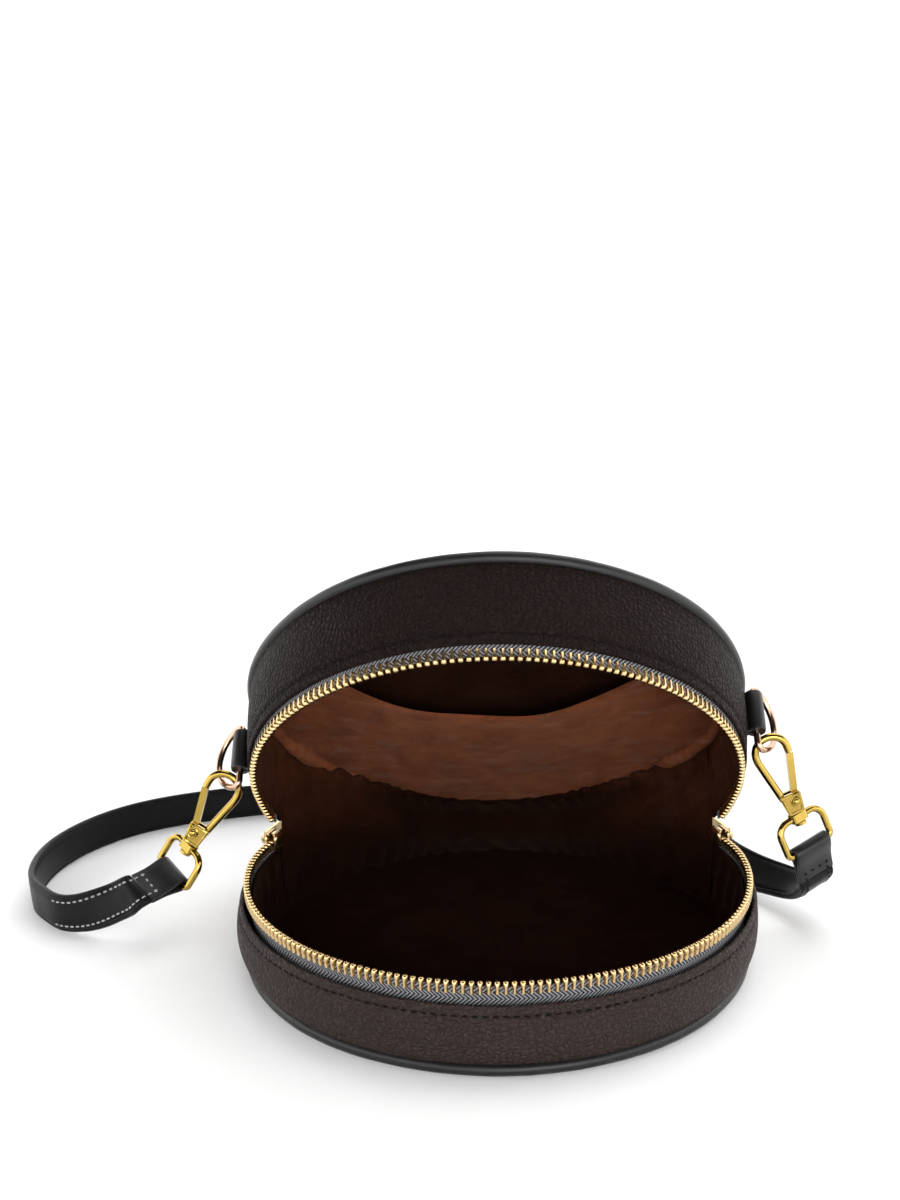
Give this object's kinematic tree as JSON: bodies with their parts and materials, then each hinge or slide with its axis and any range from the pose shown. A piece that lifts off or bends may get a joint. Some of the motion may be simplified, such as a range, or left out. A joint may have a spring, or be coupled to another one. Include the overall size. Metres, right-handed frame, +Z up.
{
  "type": "circle bag",
  "caption": "Round leather handbag lying open on its front panel: two piped drum halves with a zip, suede lining, slip pocket and a shoulder strap clipped to D-rings.",
  "frame": {"origin": "centre of the lower panel's outer face, on the surface that the bag lies on", "axes": "+Z up from the lower panel; -Y towards the middle of the zip's run, at the front; +X to the right seen from the front"},
  "size_m": [0.3434, 0.2584, 0.1604],
  "materials": {
    "pebbled_leather": "dark brown pebbled grain, soft sheen",
    "black_leather": "smooth black, glossy",
    "suede_lining": "rust-brown suede, matte nap",
    "stiffener_board": "plain board",
    "zip_tape": "dark grey herringbone weave",
    "zip_brass": "polished pale gold",
    "hook_gold": "bright gold plate",
    "rose_gold_ring": "rose-gold plate",
    "spring_steel": "plain steel"
  },
  "bodies": {
    "lower_half": {"lower_board": "stiffener_board", "lower_gusset": "pebbled_leather", "lower_gusset_lining": "suede_lining", "lower_lining_panel": "suede_lining", "lower_panel": "pebbled_leather", "lower_piping": "black_leather", "lower_zip_tape": "zip_tape", "lower_zip_teeth": "zip_brass", "zip_end_stops": "zip_brass", "hinge_gusset": "pebbled_leather", "hinge_lining": "suede_lining", "strap": "black_leather"},
    "upper_half": {"upper_board": "stiffener_board", "upper_gusset": "pebbled_leather", "upper_gusset_lining": "suede_lining", "upper_lining_panel": "suede_lining", "upper_panel": "pebbled_leather", "upper_piping": "black_leather", "upper_zip_tape": "zip_tape", "upper_zip_teeth": "zip_brass", "slip_pocket": "suede_lining", "left_tab": "black_leather", "left_swivel_eye": "hook_gold", "left_strap_fold": "black_leather", "right_tab": "black_leather", "right_swivel_eye": "hook_gold", "right_strap_fold": "black_leather"},
    "ring_left": {"left_d_ring": "rose_gold_ring"},
    "hook_left": {"left_hook_frame": "hook_gold", "left_gate_rivet": "hook_gold", "left_gate_spring": "spring_steel", "left_swivel_post": "hook_gold"},
    "gate_left": {"left_gate": "hook_gold"},
    "slider_left": {"left_slider": "zip_brass"},
    "pull_left": {"left_pull": "zip_brass"},
    "ring_right": {"right_d_ring": "rose_gold_ring"},
    "hook_right": {"right_hook_frame": "hook_gold", "right_gate_rivet": "hook_gold", "right_gate_spring": "spring_steel", "right_swivel_post": "hook_gold"},
    "gate_right": {"right_gate": "hook_gold"},
    "slider_right": {"right_slider": "zip_brass"},
    "pull_right": {"right_pull": "zip_brass"}
  },
  "joints": [
    {"name": "lid_hinge", "type": "hinge", "parent": "lower_half", "child": "upper_half", "pos_m": [0, 0.035, 0.035], "axis": [-1, 0, 0], "range_deg": [-47, 0], "deforming": ["hinge_gusset", "hinge_lining", "strap"]},
    {"name": "left_slider_travel", "type": "hinge", "parent": "lower_half", "child": "slider_left", "pos_m": [0, 0, 0.035], "axis": [0, 0, 1], "range_deg": [0, 95]},
    {"name": "left_pull_swing", "type": "hinge", "parent": "slider_left", "child": "pull_left", "pos_m": [-0.09616, 0.02817, 0.035], "axis": [0, 0, 1], "range_deg": [0, 60]},
    {"name": "left_ring_swing", "type": "hinge", "parent": "upper_half", "child": "ring_left", "pos_m": [-0.10223, 0.02352, 0.07459], "axis": [0, 0.7314, 0.682], "range_deg": [-4, 5]},
    {"name": "left_hook_swivel", "type": "hinge", "parent": "upper_half", "child": "hook_left", "pos_m": [-0.1098, 0.01753, 0.06083], "axis": [0.5446, 0.0877, 0.8341], "range_deg": [-8, 40]},
    {"name": "left_gate_press", "type": "hinge", "parent": "hook_left", "child": "gate_left", "pos_m": [-0.12265, 0.01571, 0.04352], "axis": [0, 0.9945, -0.1045], "range_deg": [0, 24], "stiffness_Nm_per_rad": 0.03, "springref_deg": -17.19, "deforming": ["left_gate_spring"]},
    {"name": "right_slider_travel", "type": "hinge", "parent": "lower_half", "child": "slider_right", "pos_m": [0, 0, 0.035], "axis": [0, 0, -1], "range_deg": [0, 95]},
    {"name": "right_pull_swing", "type": "hinge", "parent": "slider_right", "child": "pull_right", "pos_m": [0.09616, 0.02817, 0.035], "axis": [0, 0, -1], "range_deg": [0, 60]},
    {"name": "right_ring_swing", "type": "hinge", "parent": "upper_half", "child": "ring_right", "pos_m": [0.1002, 0.01449, 0.0916], "axis": [0, 0.7314, 0.682], "range_deg": [-5, 6]},
    {"name": "right_hook_swivel", "type": "hinge", "parent": "upper_half", "child": "hook_right", "pos_m": [0.10682, 0.00903, 0.07712], "axis": [0.4226, -0.0947, -0.9013], "range_deg": [-8, 40]},
    {"name": "right_gate_press", "type": "hinge", "parent": "hook_right", "child": "gate_right", "pos_m": [0.11713, 0.00704, 0.0582], "axis": [0, -0.9945, 0.1045], "range_deg": [0, 24], "stiffness_Nm_per_rad": 0.03, "springref_deg": -17.19, "deforming": ["right_gate_spring"]}
  ]
}
